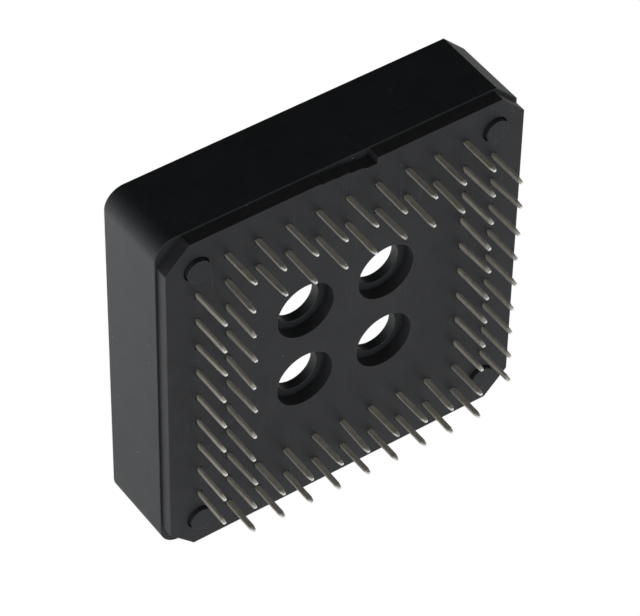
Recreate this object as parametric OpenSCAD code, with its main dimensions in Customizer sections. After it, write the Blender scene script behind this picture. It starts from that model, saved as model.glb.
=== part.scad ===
// Through-hole socket for a leaded plastic chip carrier, in millimetres.
//
// The chip goes in from above, +Z. The origin is the centre of the socket on the circuit board:
// the four posts stand on z = 0 and the contact tails reach down through the board.
// A moulded housing holds the contacts in a comb of slots round the chip's place. Its floor is
// closed from below by a base plate, which lines the tails up on the board's grid. Every second
// contact has a foot that runs inwards under the floor, so that each side has two rows of tails.

/* [Contacts] */
// Distance between neighbouring contacts along a side
contact_pitch = 1.27; // [1.05:0.01:1.6]
// Number of contacts on each side, an odd number
contacts_per_side = 17; // [9:2:21]
// Thickness of the strip that the contacts are bent from
strip_t = 0.22; // [0.15:0.01:0.3]
// Width of a contact's spring and foot
spring_w = 0.5; // [0.4:0.01:0.6]
// Width of a tail
tail_w = 0.42; // [0.3:0.01:0.52]
// How far a contact's shoulders reach over the plate on each side of the tail's hole
shoulder_ledge = 0.04; // [0.02:0.01:0.1]
// Gap between a contact's shoulders and the sides of its slot
shoulder_gap = 0.01; // [0.005:0.005:0.05]
// How far the tails stand out below the base plate
tail_len = 3.5; // [2.5:0.1:5]
// Length of the tail's pointed end
tail_point = 0.45; // [0.2:0.05:0.8]
// How far the free springs stand out in front of the cavity wall
spring_reach = 0.6; // [0.3:0.05:0.8]
// Gap between the back of a spring and the back of its slot
spring_back_gap = 0.25; // [0.1:0.05:0.5]
// Drop from the housing's rim to the spring's upper end
spring_top_drop = 0.7; // [0.3:0.05:1.5]

/* [Chip] */
// How much wider the chip is over its leads than one side's row of pitches
lead_margin = 3.56; // [2.9:0.01:4.3]
// Gap between the chip's leads and the cavity wall
chip_clearance = 0.175; // [0.1:0.005:0.4]
// Height above its seat at which the springs press on the chip's leads
press_h = 2.0; // [1.2:0.1:2.6]

/* [Housing] */
// Height of the housing above the base plate
housing_h = 6.4; // [5.2:0.1:9]
// Thickness of the floor under the chip
floor_t = 0.8; // [0.65:0.05:1.5]
// Height of the chip's seat above the floor
seat_h = 0.95; // [0.5:0.05:1.3]
// Width of the ledge that the chip's leads sit on
seat_w = 1.85; // [1.2:0.05:3]
// Depth of the contact slots behind the cavity wall
slot_depth = 1.45; // [1.2:0.05:2]
// Thickness of the outer wall behind the slots
skin_t = 1.2; // [0.8:0.05:2]
// Radius of three of the housing's corners
corner_r = 1.65; // [0.5:0.05:2.5]
// Size of the cut across the corner that shows which way round the chip goes
key_cut = 1.9; // [0.5:0.05:2.5]
// Size of the matching fill in the cavity's corner
key_fill = 1.15; // [0.5:0.05:2]
// Size of the slope that leads the chip in round the rim
lead_in = 0.4; // [0.2:0.05:0.6]
// Width of the two corner slots for the chip extractor
extractor_w = 2.4; // [1.5:0.1:3]
// How far the extractor slots reach out past the cavity's corner
extractor_reach = 1.7; // [0.8:0.1:2.1]
// Diameter of the four round holes in the floor
floor_hole_d = 3.6; // [2:0.1:4.5]
// Distance between the centres of the round holes
hole_spacing = 7.0; // [5.8:0.1:9]

/* [Base plate] */
// Thickness of the base plate
plate_t = 1.1; // [0.8:0.05:2]
// How far the plate's edge lies inside the housing's
plate_inset = 0.15; // [0:0.05:0.5]
// Size of the cut across each corner of the plate
plate_cut = 2.0; // [0.5:0.1:2.4]
// How much wider the plate's round holes are than the floor's
plate_hole_step = 1.3; // [0.4:0.1:2]
// Gap round each tail in its hole
tail_gap = 0.09; // [0.05:0.01:0.15]
// Width of the recess where the moulding gate was broken off
gate_w = 4.85; // [2:0.05:8]
// Depth of the gate recess
gate_depth = 0.6; // [0.3:0.05:1]

/* [Posts] */
// Diameter of the housing's corner posts
post_d = 1.9; // [1:0.05:2.4]
// Gap round each post in the plate
post_gap = 0.12; // [0.05:0.01:0.3]
// How far the posts stand out below the plate, on to the board
post_proud = 0.35; // [0.2:0.05:1]

/* [Hidden] */
SIDES = ["front", "right", "back", "left"];
inner_count = (contacts_per_side - 1) / 2;
outer_count = inner_count + 1;

// How many contacts share a node, and the nodes that a side's contacts make
outer_share = contacts_per_side > 17 ? 2 : 1;
inner_share = 2;
outer_nodes = ceil(outer_count / outer_share);
inner_nodes = ceil(inner_count / inner_share);

$fn = 64;
eps = 0.01;
through = 1;
housing_colour = "#2b2b2d";
plate_colour = "#3a3a3b";
contact_colour = "#9c9a92";

// Grid of the tails: two rows a side, two pitches apart
tail_grid = 2 * contact_pitch;
outer_row = (contacts_per_side + 3) / 2 * contact_pitch;
inner_row = outer_row - tail_grid;

// Heights
plate_bottom = post_proud;
plate_top = plate_bottom + plate_t;
floor_top = plate_top + floor_t;
seat_z = floor_top + seat_h;
rim_z = plate_top + housing_h;
tail_tip = plate_bottom - tail_len;

// Widths of the chip's place and of the two mouldings
chip_w = contacts_per_side * contact_pitch + lead_margin;
cavity_w = chip_w + 2 * chip_clearance;
well_w = cavity_w - 2 * seat_w;
housing_w = cavity_w + 2 * (slot_depth + skin_t);
plate_w = housing_w - 2 * plate_inset;
slot_back = cavity_w / 2 + slot_depth;
plate_hole_d = floor_hole_d + plate_hole_step;

// Centre line of a spring, as distances from the socket's middle and heights. The corners of the
// line lie outside its bends, by about a third of a bend's radius.
foot_bend = strip_t / 2 + tail_gap;
neck_bend = 0.5;
back_bend = 0.6;
press_bend = 0.7;
foot_z = plate_top + strip_t / 2;
neck_z = floor_top + strip_t;
press_z = seat_z + press_h;
back_z = (neck_z + press_z) / 2;
back_x = slot_back - spring_back_gap - strip_t / 2 + back_bend / 3;
press_x = cavity_w / 2 - spring_reach + strip_t / 2 - press_bend / 3;
end_x = cavity_w / 2 + strip_t * 2;
end_z = rim_z - spring_top_drop;

// The tails' holes in the plate, and the slots that hold the contacts' shoulders. The slots open
// into the cavity, and far enough inwards under the seat to clear the contacts' necks.
hole_w = tail_w + 2 * tail_gap;
shoulder_w = hole_w + 2 * shoulder_ledge;
slot_w = shoulder_w + 2 * shoulder_gap;
slot_front = min(outer_row - strip_t / 2 - 0.15, cavity_w / 2 - eps);
shoulder_h = 0.45;
foot_gap = 0.12;

// ---- Bent strip ----

function unit(v) = v / norm(v);
function turned(v, angle) = [v.x * cos(angle) - v.y * sin(angle), v.x * sin(angle) + v.y * cos(angle)];

// Points of the arc that rounds the corner b of the line a-b-c
function bend(a, b, c, radius, steps = 8) =
    let (towards_a = unit(a - b), towards_c = unit(c - b),
         half = acos(towards_a * towards_c) / 2,
         centre = b + unit(towards_a + towards_c) * radius / sin(half),
         start = b + towards_a * radius / tan(half) - centre,
         side = sign(towards_c.x * towards_a.y - towards_c.y * towards_a.x),
         sweep = side * (180 - 2 * half))
    [for (i = [0 : steps]) centre + turned(start, sweep * i / steps)];

// A centre line through the corners [x, z, radius], with each inner corner rounded
function rounded_line(corners) =
    let (last = len(corners) - 1, at = [for (c = corners) [c[0], c[1]]])
    concat(
        [at[0]],
        [for (i = [1 : last - 1]) each bend(at[i - 1], at[i], at[i + 1], corners[i][2])],
        [at[last]]);

// Direction of the line at point i, and the outline of a strip that follows it
function heading(line, i) = unit(line[min(i + 1, len(line) - 1)] - line[max(i - 1, 0)]);
function beside(line, i, d) = line[i] + turned(heading(line, i), 90) * d;
function strip_outline(line, width) = concat(
    [for (i = [0 : len(line) - 1]) beside(line, i, width / 2)],
    [for (i = [len(line) - 1 : -1 : 0]) beside(line, i, -width / 2)]);

// A strip bent in the upright plane: x of its outline is the distance out from the middle of the
// socket, towards -Y, and y is the height
module upright_strip(line, width, at) {
    translate([at + width / 2, 0, 0])
        rotate([90, 0, -90])
            linear_extrude(width)
                polygon(strip_outline(line, strip_t));
}

// ---- Contacts ----

function spring_line(low) = concat(low, [
    [outer_row, neck_z, neck_bend], [back_x, back_z, back_bend],
    [press_x, press_z, press_bend], [end_x, end_z]]);

// Flat tail with a pointed end, from the height top down to the board side
module tail(at, row, top) {
    tip_w = tail_w * 0.45;
    translate([at, -row + strip_t / 2, 0])
        rotate([90, 0, 0])
            linear_extrude(strip_t)
                polygon([
                    [-tail_w / 2, top], [-tail_w / 2, tail_tip + tail_point], [-tip_w / 2, tail_tip],
                    [tip_w / 2, tail_tip], [tail_w / 2, tail_tip + tail_point], [tail_w / 2, top]]);
}

// Wider part that the sides of the slot hold
module shoulders(at, low) {
    translate([at - shoulder_w / 2, -outer_row - strip_t / 2, low])
        cube([shoulder_w, strip_t, shoulder_h]);
}

module outer_contact(at) {
    upright_strip(rounded_line(spring_line([[outer_row, plate_top]])), spring_w, at);
    shoulders(at, plate_top);
    tail(at, outer_row, plate_top + eps);
}

// Plan of the foot: from under the spring inwards and across to the next column of tails
function foot_line(at) = [
    [at, -outer_row + 2 * foot_bend], [at, -outer_row + tail_grid * 0.4],
    [at - contact_pitch, -inner_row - tail_grid * 0.25], [at - contact_pitch, -inner_row - foot_bend]];

module inner_contact(at) {
    foot_start = outer_row - 2 * foot_bend;
    tail_at = at - contact_pitch;
    tail_bend_start = inner_row + 2 * foot_bend;
    spring = rounded_line(spring_line([[foot_start - eps, foot_z], [outer_row, foot_z, foot_bend]]));
    tail_bend = rounded_line([
        [tail_bend_start, foot_z], [inner_row, foot_z, foot_bend], [inner_row, plate_bottom]]);
    upright_strip(spring, spring_w, at);
    shoulders(at, foot_z + foot_bend);
    translate([0, 0, foot_z - strip_t / 2])
        linear_extrude(strip_t)
            polygon(strip_outline(foot_line(at), spring_w));
    upright_strip(tail_bend, tail_w, tail_at);
    tail(tail_at, inner_row, plate_bottom + eps);
}

// Places along a side: the outer tails' contacts are every second one, the rest have feet
function outer_at(n) = (2 * (n - 1) - (outer_count - 1)) * contact_pitch;
function inner_at(n) = (2 * (n - 1) - (inner_count - 1)) * contact_pitch;

module outer_contact_on(side, n) {
    color(contact_colour)
        rotate([0, 0, 90 * side])
            for (i = [outer_share * (n - 1) + 1 : min(outer_share * n, outer_count)])
                outer_contact(outer_at(i));
}

module inner_contacts_on(side, n) {
    color(contact_colour)
        rotate([0, 0, 90 * side])
            for (i = [inner_share * (n - 1) + 1 : min(inner_share * n, inner_count)])
                inner_contact(inner_at(i));
}

// ---- Mouldings ----

module on_each_side() {
    for (side = [0 : 3]) rotate([0, 0, 90 * side]) children();
}

// What is taken off to round the corner at the origin of a block that lies towards -X and -Y
module corner_rounding(r, h) {
    difference() {
        translate([-r, -r, -through]) cube([r + through, r + through, h + 2 * through]);
        translate([-r, -r, -2 * through]) cylinder(r = r, h = h + 4 * through);
    }
}

// What is taken off to cut across that corner
module corner_cut(size, h) {
    translate([0, 0, -through])
        rotate([0, 0, 45])
            translate([-size / sqrt(2), -2 * size, 0])
                cube([2 * size, 4 * size, h + 2 * through]);
}

// Square block with three rounded corners and one cut one, at +X -Y
module keyed_block(w, h, r, cut) {
    difference() {
        translate([-w / 2, -w / 2, 0]) cube([w, w, h]);
        for (side = [0 : 2]) rotate([0, 0, 90 * side]) translate([w / 2, w / 2, 0]) corner_rounding(r, h);
        rotate([0, 0, -90]) translate([w / 2, w / 2, 0]) corner_cut(cut, h);
    }
}

// Sloping edge round the top of the cavity, square on the sides and conical at the corners
module lead_in_slope() {
    on_each_side() {
        translate([-cavity_w / 2, -cavity_w / 2, rim_z])
            rotate([90, 0, 90])
                linear_extrude(cavity_w)
                    polygon([[eps, -lead_in - eps], [eps, eps], [-lead_in - eps, eps]]);
        translate([cavity_w / 2, cavity_w / 2, rim_z - lead_in])
            cylinder(r1 = 0, r2 = lead_in + eps, h = lead_in + eps);
    }
}

// Slot for one contact, open at the rim and through the floor
module contact_slot(at) {
    translate([at - slot_w / 2, -slot_back, plate_top - through])
        cube([slot_w, slot_back - slot_front, housing_h + 2 * through]);
}

// Channel in the underside for one foot
module foot_channel(at) {
    route = concat(
        [[at, -slot_front - eps]], foot_line(at), [[at - contact_pitch, -inner_row + 2 * foot_gap]]);
    translate([0, 0, plate_top - eps])
        linear_extrude(strip_t + foot_gap + eps)
            polygon(strip_outline(route, spring_w + 2 * foot_gap));
}

// Slot across a corner of the cavity, down to the floor, for the extractor's prong
module extractor_slot() {
    reach = cavity_w / sqrt(2) + extractor_reach - extractor_w / 2;
    start = well_w / sqrt(2) - 2 * extractor_w;
    rotate([0, 0, 45]) {
        translate([start, -extractor_w / 2, floor_top])
            cube([reach - start, extractor_w, housing_h]);
        translate([reach, 0, floor_top])
            cylinder(d = extractor_w, h = housing_h);
    }
}

module round_holes(d) {
    on_each_side()
        translate([hole_spacing / 2, hole_spacing / 2, -through])
            cylinder(d = d, h = rim_z);
}

module posts(d, low) {
    on_each_side()
        translate([outer_row, outer_row, low])
            cylinder(d = d, h = plate_top - low + eps);
}

// Small arrow in the rim in front of the first contact
module first_contact_mark() {
    depth = 0.25;
    size = skin_t * 0.6;
    translate([0, -slot_back - skin_t * 0.15, rim_z - depth])
        linear_extrude(depth + through)
            polygon([[0, 0], [-size * 0.7, -size], [size * 0.7, -size]]);
}

module housing() {
    color(housing_colour) {
        difference() {
            translate([0, 0, plate_top]) keyed_block(housing_w, housing_h, corner_r, key_cut);
            translate([0, 0, seat_z]) keyed_block(cavity_w, housing_h, 0.4, key_fill);
            translate([0, 0, floor_top]) keyed_block(well_w, housing_h, 0.8, key_fill);
            lead_in_slope();
            on_each_side() {
                for (n = [1 : outer_count]) contact_slot(outer_at(n));
                for (n = [1 : inner_count]) {
                    contact_slot(inner_at(n));
                    foot_channel(inner_at(n));
                }
            }
            extractor_slot();
            rotate([0, 0, 180]) extractor_slot();
            round_holes(floor_hole_d);
            first_contact_mark();
        }
        posts(post_d, 0);
    }
}

// Recess in the plate's front edge with the torn stub of the gate left in it
module gate_recess() {
    front = -plate_w / 2;
    stub = [
        [-0.5, 0.12], [-0.44, 0.2], [-0.3, 0.16], [-0.22, 0.3], [-0.02, 0.26], [0.04, 0.5],
        [0.22, 0.55], [0.3, 0.88], [0.5, 0.9]];
    translate([0, 0, plate_bottom - through])
        linear_extrude(plate_t + 2 * through)
            polygon(concat(
                [for (p = stub) [p[0] * gate_w, front + p[1] * gate_depth]],
                [[gate_w / 2, front - through], [-gate_w / 2, front - through]]));
}

module tail_hole(at, row) {
    d = strip_t + 2 * tail_gap;
    translate([at - hole_w / 2, -row - d / 2, plate_bottom - through])
        cube([hole_w, d, plate_t + 2 * through]);
}

module base_plate() {
    color(plate_colour)
        difference() {
            translate([-plate_w / 2, -plate_w / 2, plate_bottom]) cube([plate_w, plate_w, plate_t]);
            on_each_side() {
                translate([plate_w / 2, plate_w / 2, plate_bottom]) corner_cut(plate_cut, plate_t);
                for (n = [1 : outer_count]) tail_hole(outer_at(n), outer_row);
                for (n = [1 : inner_count]) tail_hole(inner_at(n) - contact_pitch, inner_row);
            }
            round_holes(plate_hole_d);
            posts(post_d + 2 * post_gap, plate_bottom - through);
            gate_recess();
        }
}

housing();
base_plate();
for (side = [0 : 3]) {
    for (n = [1 : outer_nodes])
        outer_contact_on(side, n);
    for (n = [1 : inner_nodes])
        inner_contacts_on(side, n);
}
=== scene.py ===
import math

import bmesh
import bpy
from mathutils import Matrix, Vector


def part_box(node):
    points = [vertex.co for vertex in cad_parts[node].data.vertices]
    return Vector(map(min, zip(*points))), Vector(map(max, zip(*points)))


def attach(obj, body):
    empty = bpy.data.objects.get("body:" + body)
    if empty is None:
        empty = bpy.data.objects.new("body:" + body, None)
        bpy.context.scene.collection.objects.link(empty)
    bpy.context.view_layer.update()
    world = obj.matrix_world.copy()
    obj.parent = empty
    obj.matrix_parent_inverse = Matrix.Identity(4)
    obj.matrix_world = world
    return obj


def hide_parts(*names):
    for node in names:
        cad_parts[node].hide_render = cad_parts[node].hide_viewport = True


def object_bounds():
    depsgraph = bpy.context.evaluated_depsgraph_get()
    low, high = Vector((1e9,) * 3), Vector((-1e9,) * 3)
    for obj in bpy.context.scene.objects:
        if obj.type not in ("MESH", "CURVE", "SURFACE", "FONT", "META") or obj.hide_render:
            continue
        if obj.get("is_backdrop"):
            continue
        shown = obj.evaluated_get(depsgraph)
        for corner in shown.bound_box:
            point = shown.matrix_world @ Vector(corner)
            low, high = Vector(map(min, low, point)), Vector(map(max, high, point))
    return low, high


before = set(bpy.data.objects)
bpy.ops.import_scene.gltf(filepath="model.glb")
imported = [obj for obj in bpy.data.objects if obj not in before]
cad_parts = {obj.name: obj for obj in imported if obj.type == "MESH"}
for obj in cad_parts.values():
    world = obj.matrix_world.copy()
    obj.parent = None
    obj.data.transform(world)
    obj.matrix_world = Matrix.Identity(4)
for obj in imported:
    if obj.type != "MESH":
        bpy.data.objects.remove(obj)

MM = 0.001

# Where the camera stands, looking at the pin side from one corner
CAMERA_AIM = Vector((-1.09, -0.995, 2.02)) * MM
CAMERA_AZIMUTH = -29.93
CAMERA_ELEVATION = -34.95
CAMERA_ROLL = -44.0
CAMERA_DISTANCE = 273.385 * MM
CAMERA_LENS = 213.46

# Rounding of the moulded edges and of the sheared edges of the contacts
MOULD_EDGE = 0.09 * MM
STRIP_EDGE = 0.02 * MM
# How far a tail's tip may stand off its place after handling, along X and along Y
TAIL_LEAN = 0.11 * MM
# Random seeds of the two rows' leans
OUTER_SEED = 3
INNER_SEED = 8

# Strength of the white surroundings as light, and as seen directly or mirrored
SKY_LIGHT = 0.2
SKY_SEEN = 1.0


def linear(code):
    """Linear RGBA of an sRGB hex code."""
    parts = [int(code[i:i + 2], 16) / 255 for i in (1, 3, 5)]
    return [c / 12.92 if c <= 0.04045 else ((c + 0.055) / 1.055) ** 2.4 for c in parts] + [1.0]


def set_inputs(tree, node, inputs):
    """Gives a node's sockets their values, or links them to the outputs given."""
    for socket, value in inputs.items():
        if isinstance(value, bpy.types.NodeSocket):
            tree.links.new(value, node.inputs[socket])
        else:
            node.inputs[socket].default_value = value


def add(tree, kind, inputs=None, **settings):
    """A new node, with its settings and the values or links of its sockets."""
    node = tree.nodes.new(kind)
    for name, value in settings.items():
        setattr(node, name, value)
    set_inputs(tree, node, inputs or {})
    return node


# ---- Meshes ----

def merged_copy(node_name, name):
    """The CAD node's surface as a new object, with its loose triangles joined into flat faces."""
    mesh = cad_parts[node_name].data.copy()
    shape = bmesh.new()
    shape.from_mesh(mesh)
    bmesh.ops.remove_doubles(shape, verts=shape.verts, dist=1e-7)
    bmesh.ops.dissolve_limit(
        shape, angle_limit=math.radians(0.5), verts=shape.verts, edges=shape.edges)
    bmesh.ops.recalc_face_normals(shape, faces=shape.faces)
    shape.to_mesh(mesh)
    shape.free()
    mesh.materials.clear()
    mesh.attributes.remove(mesh.attributes["custom_normal"])
    mesh.name = name
    piece = bpy.data.objects.new(name, mesh)
    bpy.context.scene.collection.objects.link(piece)
    return piece


def keep_first_solid(piece):
    """Leaves only the solid of a mesh that reaches furthest towards -X."""
    shape = bmesh.new()
    shape.from_mesh(piece.data)
    start = min(shape.verts, key=lambda v: v.co.x)
    kept = {start}
    front = [start]
    while front:
        vertex = front.pop()
        for edge in vertex.link_edges:
            other = edge.other_vert(vertex)
            if other not in kept:
                kept.add(other)
                front.append(other)
    bmesh.ops.delete(shape, geom=[v for v in shape.verts if v not in kept], context="VERTS")
    if shape.calc_volume(signed=True) < 0:
        bmesh.ops.reverse_faces(shape, faces=shape.faces)
    shape.to_mesh(piece.data)
    shape.free()


def blunted(piece, width):
    """Takes the sharpness off a piece's edges with one narrow face each, and shades it flat."""
    bevel = piece.modifiers.new("edges", "BEVEL")
    bevel.width = width
    bevel.segments = 1
    bevel.limit_method = "ANGLE"
    bevel.angle_limit = math.radians(30)
    bevel.miter_outer = "MITER_ARC"
    bevel.use_clamp_overlap = True
    bake(piece)
    for face in piece.data.polygons:
        face.use_smooth = False


def bake(piece):
    """Replaces a piece's mesh by what its modifiers make of it."""
    graph = bpy.context.evaluated_depsgraph_get()
    mesh = bpy.data.meshes.new_from_object(piece.evaluated_get(graph))
    old = piece.data
    piece.modifiers.clear()
    piece.data = mesh
    bpy.data.meshes.remove(old)


def contact_rows():
    """Node tree that repeats one contact along a side and round the four sides, with each tail a
    little out of line."""
    tree = bpy.data.node_groups.new("contact rows", "GeometryNodeTree")
    sockets = tree.interface
    sockets.new_socket("Contact", in_out="INPUT", socket_type="NodeSocketGeometry")
    sockets.new_socket("Count", in_out="INPUT", socket_type="NodeSocketInt")
    sockets.new_socket("Spacing", in_out="INPUT", socket_type="NodeSocketVector")
    sockets.new_socket("Lean", in_out="INPUT", socket_type="NodeSocketFloat")
    sockets.new_socket("Root height", in_out="INPUT", socket_type="NodeSocketFloat")
    sockets.new_socket("Tip height", in_out="INPUT", socket_type="NodeSocketFloat")
    sockets.new_socket("Seed", in_out="INPUT", socket_type="NodeSocketInt")
    sockets.new_socket("Material", in_out="INPUT", socket_type="NodeSocketMaterial")
    sockets.new_socket("Contacts", in_out="OUTPUT", socket_type="NodeSocketGeometry")
    given = add(tree, "NodeGroupInput").outputs

    row = add(tree, "GeometryNodeMeshLine", {"Count": given["Count"], "Offset": given["Spacing"]})
    side = add(tree, "GeometryNodeInstanceOnPoints", {
        "Points": row.outputs["Mesh"], "Instance": given["Contact"]})
    corners = add(tree, "GeometryNodeMeshLine", {"Count": 4, "Offset": (0.0, 0.0, 0.0)})
    number = add(tree, "GeometryNodeInputIndex")
    quarter = add(tree, "ShaderNodeMath", {0: number.outputs[0], 1: math.pi / 2}, operation="MULTIPLY")
    turn = add(tree, "ShaderNodeCombineXYZ", {"Z": quarter.outputs[0]})
    rotation = add(tree, "FunctionNodeEulerToRotation", {0: turn.outputs[0]})
    ring = add(tree, "GeometryNodeInstanceOnPoints", {
        "Points": corners.outputs["Mesh"], "Instance": side.outputs["Instances"],
        "Rotation": rotation.outputs[0]})
    solid = add(tree, "GeometryNodeRealizeInstances", {"Geometry": ring.outputs["Instances"]})

    island = add(tree, "GeometryNodeInputMeshIsland")
    lean = add(tree, "FunctionNodeRandomValue", {
        "Min": (-1.0, -1.0, 0.0), "Max": (1.0, 1.0, 0.0),
        "ID": island.outputs["Island Index"], "Seed": given["Seed"]}, data_type="FLOAT_VECTOR")
    place = add(tree, "GeometryNodeInputPosition")
    height = add(tree, "ShaderNodeSeparateXYZ", {0: place.outputs[0]})
    reach = add(tree, "ShaderNodeMapRange", {
        "Value": height.outputs["Z"], "From Min": given["Root height"],
        "From Max": given["Tip height"], "To Min": 0.0, "To Max": given["Lean"]})
    shift = add(tree, "ShaderNodeVectorMath", {
        0: lean.outputs["Value"], "Scale": reach.outputs["Result"]}, operation="SCALE")
    moved = add(tree, "GeometryNodeSetPosition", {
        "Geometry": solid.outputs["Geometry"], "Offset": shift.outputs["Vector"]})
    finished = add(tree, "GeometryNodeSetMaterial", {
        "Geometry": moved.outputs["Geometry"], "Material": given["Material"]})
    add(tree, "NodeGroupOutput", {"Contacts": finished.outputs["Geometry"]})
    return tree


def contacts(name, tree, first, count, step, seed, material, nodes):
    """One mesh of all the contacts of a kind, repeated from the first one on the front side."""
    piece = merged_copy(first, name)
    piece.data.materials.append(material)
    keep_first_solid(piece)
    blunted(piece, STRIP_EDGE)
    values = {
        "Count": count, "Spacing": step, "Lean": TAIL_LEAN, "Root height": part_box("base_plate")[0][2],
        "Tip height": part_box(first)[0][2], "Seed": seed, "Material": material}
    rows = piece.modifiers.new("rows", "NODES")
    rows.node_group = tree
    for item in tree.interface.items_tree:
        if item.in_out == "INPUT" and item.name in values:
            rows[item.identifier] = values[item.name]
    bake(piece)
    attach(piece, "root")
    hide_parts(*nodes)
    return piece


# ---- Materials ----

def material_tree(name):
    """A new material with its node tree and its surface shader."""
    material = bpy.data.materials.new(name)
    material.use_nodes = True
    tree = material.node_tree
    return material, tree, tree.nodes["Principled BSDF"]


def blended(tree, factor, first, second):
    """Colour between two others."""
    mix = add(tree, "ShaderNodeMix", {0: factor, 6: first, 7: second}, data_type="RGBA")
    return mix.outputs[2]


def ranged(tree, value, low, high, start=0.0, end=1.0):
    """A value's place between low and high, spread from start to end."""
    spread = add(tree, "ShaderNodeMapRange", {
        "Value": value, "From Min": low, "From Max": high, "To Min": start, "To Max": end})
    return spread.outputs["Result"]


def noise(tree, place, size, detail=2.0, rough=0.5):
    """Cloudy pattern whose patches are about size across."""
    return add(tree, "ShaderNodeTexNoise", {
        "Vector": place, "Scale": 1 / size, "Detail": detail, "Roughness": rough}).outputs["Fac"]


def product(tree, first, second):
    """Two values multiplied."""
    return add(tree, "ShaderNodeMath", {0: first, 1: second}, operation="MULTIPLY").outputs[0]


def moulded_plastic(name, tone, paler, dust):
    """Black glass-filled thermoplastic as moulded: matt, faintly clouded by its flow in the mould,
    with fine grain, faint rubbed streaks, a little dust and edges painted paler as a highlight."""
    material, tree, surface = material_tree(name)
    place = add(tree, "ShaderNodeTexCoord").outputs["Object"]

    # Clouds a few millimetres across where the filler lies nearer the surface
    clouds = noise(tree, place, 2.6 * MM, 4.0, 0.6)
    colour = blended(tree, ranged(tree, clouds, 0.35, 0.7), linear(tone), linear(paler))

    # Grain of the mould's spark-eroded surface, drawn coarser than the real 0.02 mm
    grain = noise(tree, place, 0.11 * MM, 2.0, 0.6)
    colour = blended(tree, ranged(tree, grain, 0.56, 0.75, 0.0, 0.35), colour, linear("#4c4c4e"))

    # Rubbed streaks, faint and all one way, where trays and fingers have slid over the part
    tilted = add(tree, "ShaderNodeMapping", {
        "Vector": place, "Rotation": (0.3, 0.5, 0.7), "Scale": (1.0, 0.05, 0.4)})
    streaks = noise(tree, tilted.outputs[0], 0.25 * MM, 1.0)
    where = ranged(tree, noise(tree, place, 4.0 * MM), 0.5, 0.65)
    rubbed = product(tree, ranged(tree, streaks, 0.6, 0.72), where)
    colour = blended(tree, product(tree, rubbed, 0.25), colour, linear("#4a4a4c"))

    # Dust specks of about 0.06 mm, in one cell out of six
    cells = add(tree, "ShaderNodeTexVoronoi", {"Vector": place, "Scale": 1 / (dust * MM)})
    near = ranged(tree, cells.outputs["Distance"], 0.05, 0.03)
    chosen = add(tree, "ShaderNodeSeparateColor", {0: cells.outputs["Color"]})
    speck = product(tree, near, ranged(tree, chosen.outputs[0], 0.82, 0.84))
    colour = blended(tree, product(tree, speck, 0.75), colour, linear("#9a9a98"))

    edges = add(tree, "ShaderNodeBevel", {"Radius": MOULD_EDGE}, samples=6)

    # Edges painted paler than the faces they part: a painted highlight along the rounded edges, partly
    # rubbed wear
    face = add(tree, "ShaderNodeNewGeometry").outputs["True Normal"]
    turned = add(tree, "ShaderNodeVectorMath", {0: edges.outputs[0], 1: face}, operation="DOT_PRODUCT")
    edge_highlight_and_wear = ranged(tree, turned.outputs["Value"], 0.99, 0.85)
    colour = blended(tree, product(tree, edge_highlight_and_wear, 0.5), colour, linear("#67676a"))

    bump = add(tree, "ShaderNodeBump", {
        "Strength": 0.35, "Distance": 0.02 * MM, "Height": grain, "Normal": edges.outputs[0]})
    set_inputs(tree, surface, {
        "Base Color": colour, "Roughness": ranged(tree, grain, 0.3, 0.7, 0.5, 0.66),
        "Normal": bump.outputs[0], "IOR": 1.5, "Specular IOR Level": 0.18})
    return material


def tin_plate():
    """Matt tin plated on phosphor bronze strip: drawn streaks along the strip, dull stains and a
    painted highlight on the sheared tips, partly their bare metal."""
    material, tree, surface = material_tree("matt tin plate")
    place = add(tree, "ShaderNodeTexCoord").outputs["Object"]
    height = add(tree, "ShaderNodeSeparateXYZ", {0: place}).outputs["Z"]

    # Streaks left by drawing the strip, 0.1 mm wide and a millimetre or two long
    drawn = add(tree, "ShaderNodeMapping", {"Vector": place, "Scale": (1.0, 1.0, 0.08)})
    streaks = noise(tree, drawn.outputs[0], 0.1 * MM, 2.0)
    colour = blended(tree, ranged(tree, streaks, 0.3, 0.7), linear("#9c978c"), linear("#bcb7ab"))

    # Dull grey stains from handling and storage
    stains = noise(tree, place, 0.7 * MM, 3.0, 0.6)
    colour = blended(tree, ranged(tree, stains, 0.5, 0.66, 0.0, 0.35), colour, linear("#5f5d58"))

    # Painted highlight at the tips, brighter towards the sheared ends, partly their bare sheared metal
    tip_highlight_and_bare_metal = ranged(tree, height, -2.75 * MM, -3.0 * MM)
    colour = blended(tree, product(tree, tip_highlight_and_bare_metal, 0.9), colour, linear("#eeece6"))

    bump = add(tree, "ShaderNodeBump", {
        "Strength": 0.3, "Distance": 0.015 * MM, "Height": streaks})
    set_inputs(tree, surface, {
        "Base Color": colour, "Metallic": 0.3, "Roughness": ranged(tree, stains, 0.4, 0.7, 0.45, 0.62),
        "Normal": bump.outputs[0]})
    return material


def floor_material():
    """Pale matt board, which lets the view from below through."""
    material, tree, surface = material_tree("pale floor")
    set_inputs(tree, surface, {"Base Color": linear("#f2f2f0"), "Roughness": 0.8})
    side = add(tree, "ShaderNodeNewGeometry").outputs["Backfacing"]
    clear = add(tree, "ShaderNodeBsdfTransparent")
    mix = add(tree, "ShaderNodeMixShader", {0: side, 1: surface.outputs[0], 2: clear.outputs[0]})
    tree.links.new(mix.outputs[0], tree.nodes["Material Output"].inputs["Surface"])
    return material


def card_material():
    """Black felt of a studio flag."""
    material, tree, surface = material_tree("black felt")
    set_inputs(tree, surface, {"Base Color": linear("#050505"), "Roughness": 1.0})
    return material


# ---- Studio ----

def facing(where, direction):
    """The place of a thing at a point, with its Z axis turned along a direction."""
    return Matrix.Translation(where) @ direction.to_track_quat("Z", "Y").to_matrix().to_4x4()


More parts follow.
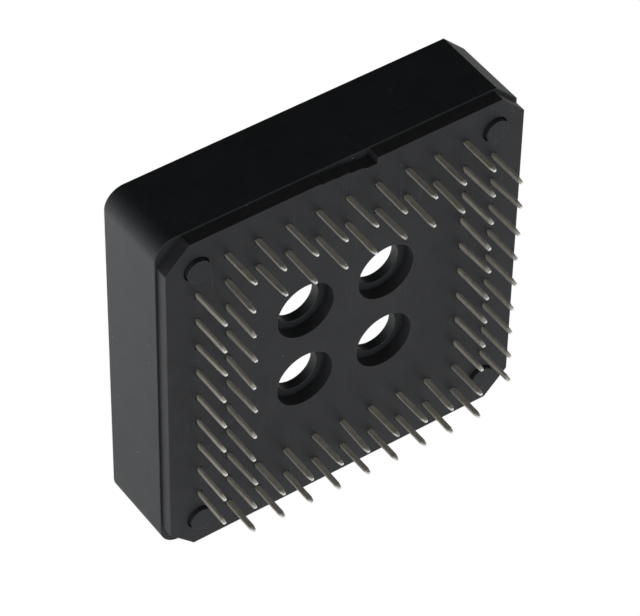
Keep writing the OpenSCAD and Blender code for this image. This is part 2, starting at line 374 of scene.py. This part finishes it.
def flat(name, width, depth, where, towards, material):
    """A flat rectangle, marked as not part of the object."""
    mesh = bpy.data.meshes.new(name)
    w = width / 2
    d = depth / 2
    mesh.from_pydata([(-w, -d, 0), (w, -d, 0), (w, d, 0), (-w, d, 0)], [], [(0, 1, 2, 3)])
    mesh.materials.append(material)
    piece = bpy.data.objects.new(name, mesh)
    piece.matrix_world = facing(where, towards)
    bpy.context.scene.collection.objects.link(piece)
    piece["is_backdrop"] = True
    return piece


def lamp(name, where, power, size):
    """A square soft lamp that faces the socket."""
    light = bpy.data.lights.new(name, "AREA")
    light.energy = power
    light.size = size
    piece = bpy.data.objects.new(name, light)
    piece.matrix_world = facing(where, where)
    bpy.context.scene.collection.objects.link(piece)
    return piece


def studio():
    """White surroundings, a floor under the tails, soft lamps and a black flag."""
    world = bpy.data.worlds.new("studio")
    bpy.context.scene.world = world
    world.use_nodes = True
    tree = world.node_tree
    tree.nodes.clear()
    rays = add(tree, "ShaderNodeLightPath").outputs
    seen = add(tree, "ShaderNodeMath", {
        0: rays["Is Camera Ray"], 1: rays["Is Glossy Ray"]}, operation="ADD")
    either = add(tree, "ShaderNodeMath", {
        0: seen.outputs[0], 1: rays["Is Transmission Ray"]}, operation="ADD", use_clamp=True)
    strength = ranged(tree, either.outputs[0], 0.0, 1.0, SKY_LIGHT, SKY_SEEN)
    sky = add(tree, "ShaderNodeBackground", {"Color": (1, 1, 1, 1), "Strength": strength})
    add(tree, "ShaderNodeOutputWorld", {"Surface": sky.outputs[0]})

    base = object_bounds()[0][2]
    floor = flat("floor", 0.6, 0.6, Vector((0, 0, base)), Vector((0, 0, 1)), floor_material())
    floor.visible_shadow = False
    floor.visible_diffuse = False
    floor.visible_glossy = False

    felt = card_material()
    flag = flat("flag", 0.5, 0.3, Vector((0.03, -0.12, 0.09)), Vector((-0.03, 0.12, -0.09)), felt)
    flag.visible_camera = False

    lamp("key", Vector((-0.32, -0.03, -0.12)), 0.4, 0.2)
    lamp("fill", Vector((0.0, 0.0, -0.35)), 0.5, 0.25)
    lamp("top", Vector((-0.1, 0.1, 0.35)), 1.5, 0.3)


def camera():
    """The camera, placed by its angles round the aim point and rolled about its line of sight."""
    azimuth = math.radians(CAMERA_AZIMUTH)
    elevation = math.radians(CAMERA_ELEVATION)
    roll = math.radians(CAMERA_ROLL)
    back = Vector((
        math.sin(azimuth) * math.cos(elevation), -math.cos(azimuth) * math.cos(elevation),
        math.sin(elevation)))
    level = Vector((math.cos(azimuth), math.sin(azimuth), 0))
    upright = back.cross(level)
    right = level * math.cos(roll) + upright * math.sin(roll)
    up = upright * math.cos(roll) - level * math.sin(roll)
    lens = bpy.data.cameras.new("camera")
    lens.lens = CAMERA_LENS
    lens.sensor_width = 36
    lens.clip_start = 0.01
    lens.clip_end = 10
    piece = bpy.data.objects.new("camera", lens)
    turn = Matrix((right, up, back)).transposed().to_4x4()
    piece.matrix_world = Matrix.Translation(CAMERA_AIM + back * CAMERA_DISTANCE) @ turn
    bpy.context.scene.collection.objects.link(piece)
    bpy.context.scene.camera = piece


# ---- The socket ----

def paint(node_name, material):
    """Gives a CAD node its material."""
    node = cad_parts[node_name]
    for slot in node.material_slots:
        slot.material = material


def socket():
    """All the pieces of the socket."""
    paint("housing", moulded_plastic("moulded housing plastic", "#1f2123", "#26282a", 1.1))
    paint("base_plate", moulded_plastic("moulded plate plastic", "#202123", "#28292b", 0.9))
    tree = contact_rows()
    tin = tin_plate()
    outer = sorted(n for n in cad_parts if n.startswith("outer_contact_"))
    inner = sorted(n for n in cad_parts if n.startswith("inner_contacts_"))
    per_side = sum(n.startswith("outer_contact_front") for n in outer)
    step = Vector(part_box("outer_contact_front_2")[0]) - Vector(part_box("outer_contact_front_1")[0])
    contacts("outer_contacts", tree, "outer_contact_front_1", per_side, step, OUTER_SEED, tin, outer)
    contacts(
        "inner_contacts", tree, "inner_contacts_front_1", per_side - 1, step, INNER_SEED, tin, inner)


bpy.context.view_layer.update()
bpy.context.scene.view_settings.view_transform = "Standard"
socket()
studio()
camera()
